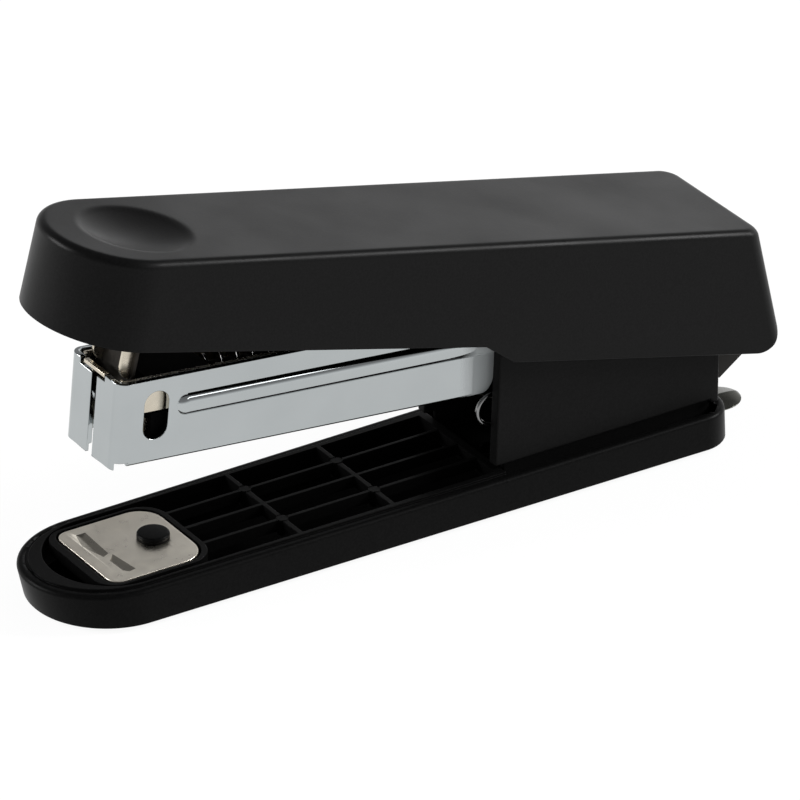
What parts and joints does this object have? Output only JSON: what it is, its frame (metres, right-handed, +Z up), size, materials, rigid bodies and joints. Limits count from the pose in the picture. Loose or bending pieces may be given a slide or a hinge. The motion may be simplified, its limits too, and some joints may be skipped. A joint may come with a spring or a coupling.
{
  "type": "desk stapler",
  "caption": "Compact desk stapler with a pivoting plated magazine, a moulded cap with a thumb dish, a sprung pusher and a ribbed base with an anvil.",
  "frame": {"origin": "middle of the base's flat underside, half-way along the moulded shell", "axes": "+Z up out of the underside, -Y towards the nose, where the staples come out, +X to the stapler's left seen from behind its nose"},
  "size_m": [0.0204, 0.0941, 0.0456],
  "materials": {
    "black_plastic": "satin, fine moulded texture",
    "chrome": "bright plated",
    "nickel_steel": "warm nickel plate",
    "dark_steel": "dark zinc plate"
  },
  "bodies": {
    "base": {"base_shell": "black_plastic", "bottom_plate": "dark_steel", "base_screw_front": "dark_steel", "base_screw_rear": "dark_steel", "anvil_plate": "nickel_steel", "anvil_stud": "black_plastic", "hinge_bracket": "black_plastic", "staple_remover": "nickel_steel", "remover_rivet": "nickel_steel", "pivot_pin": "chrome", "pivot_sleeve": "nickel_steel", "return_spring": "chrome"},
    "magazine": {"magazine_channel": "chrome", "staple_guide": "nickel_steel", "staple_rail": "nickel_steel", "magazine_frame": "dark_steel", "channel_rivet": "nickel_steel", "rod_anchor": "dark_steel", "guide_rod": "chrome", "pusher_spring": "chrome"},
    "pusher": {"pusher": "black_plastic"},
    "handle": {"top_cap": "black_plastic", "handle_frame": "dark_steel", "driver_blade": "nickel_steel", "driver_carrier": "nickel_steel", "driver_rivet": "nickel_steel", "handle_spring": "dark_steel", "handle_spring_rivet": "nickel_steel", "cap_screw_front": "dark_steel", "cap_screw_rear": "dark_steel"}
  },
  "joints": [
    {"name": "magazine_hinge", "type": "hinge", "parent": "base", "child": "magazine", "pos_m": [0, 0.038, 0.014], "axis": [-1, 0, 0], "range_deg": [-9.6, 0], "stiffness_Nm_per_rad": 0.12, "springref_deg": 25.78, "deforming": ["return_spring"]},
    {"name": "handle_hinge", "type": "hinge", "parent": "magazine", "child": "handle", "pos_m": [0, 0.038, 0.014], "axis": [-1, 0, 0], "range_deg": [-4.4, 45], "stiffness_Nm_per_rad": 0.6, "springref_deg": 0.97, "deforming": ["handle_spring"]},
    {"name": "pusher_slide", "type": "slide", "parent": "magazine", "child": "pusher", "axis": [0, 0.9952, -0.0976], "range_m": [0, 0.0225], "stiffness_N_per_m": 20, "springref_m": -0.02, "deforming": ["pusher_spring"]}
  ]
}
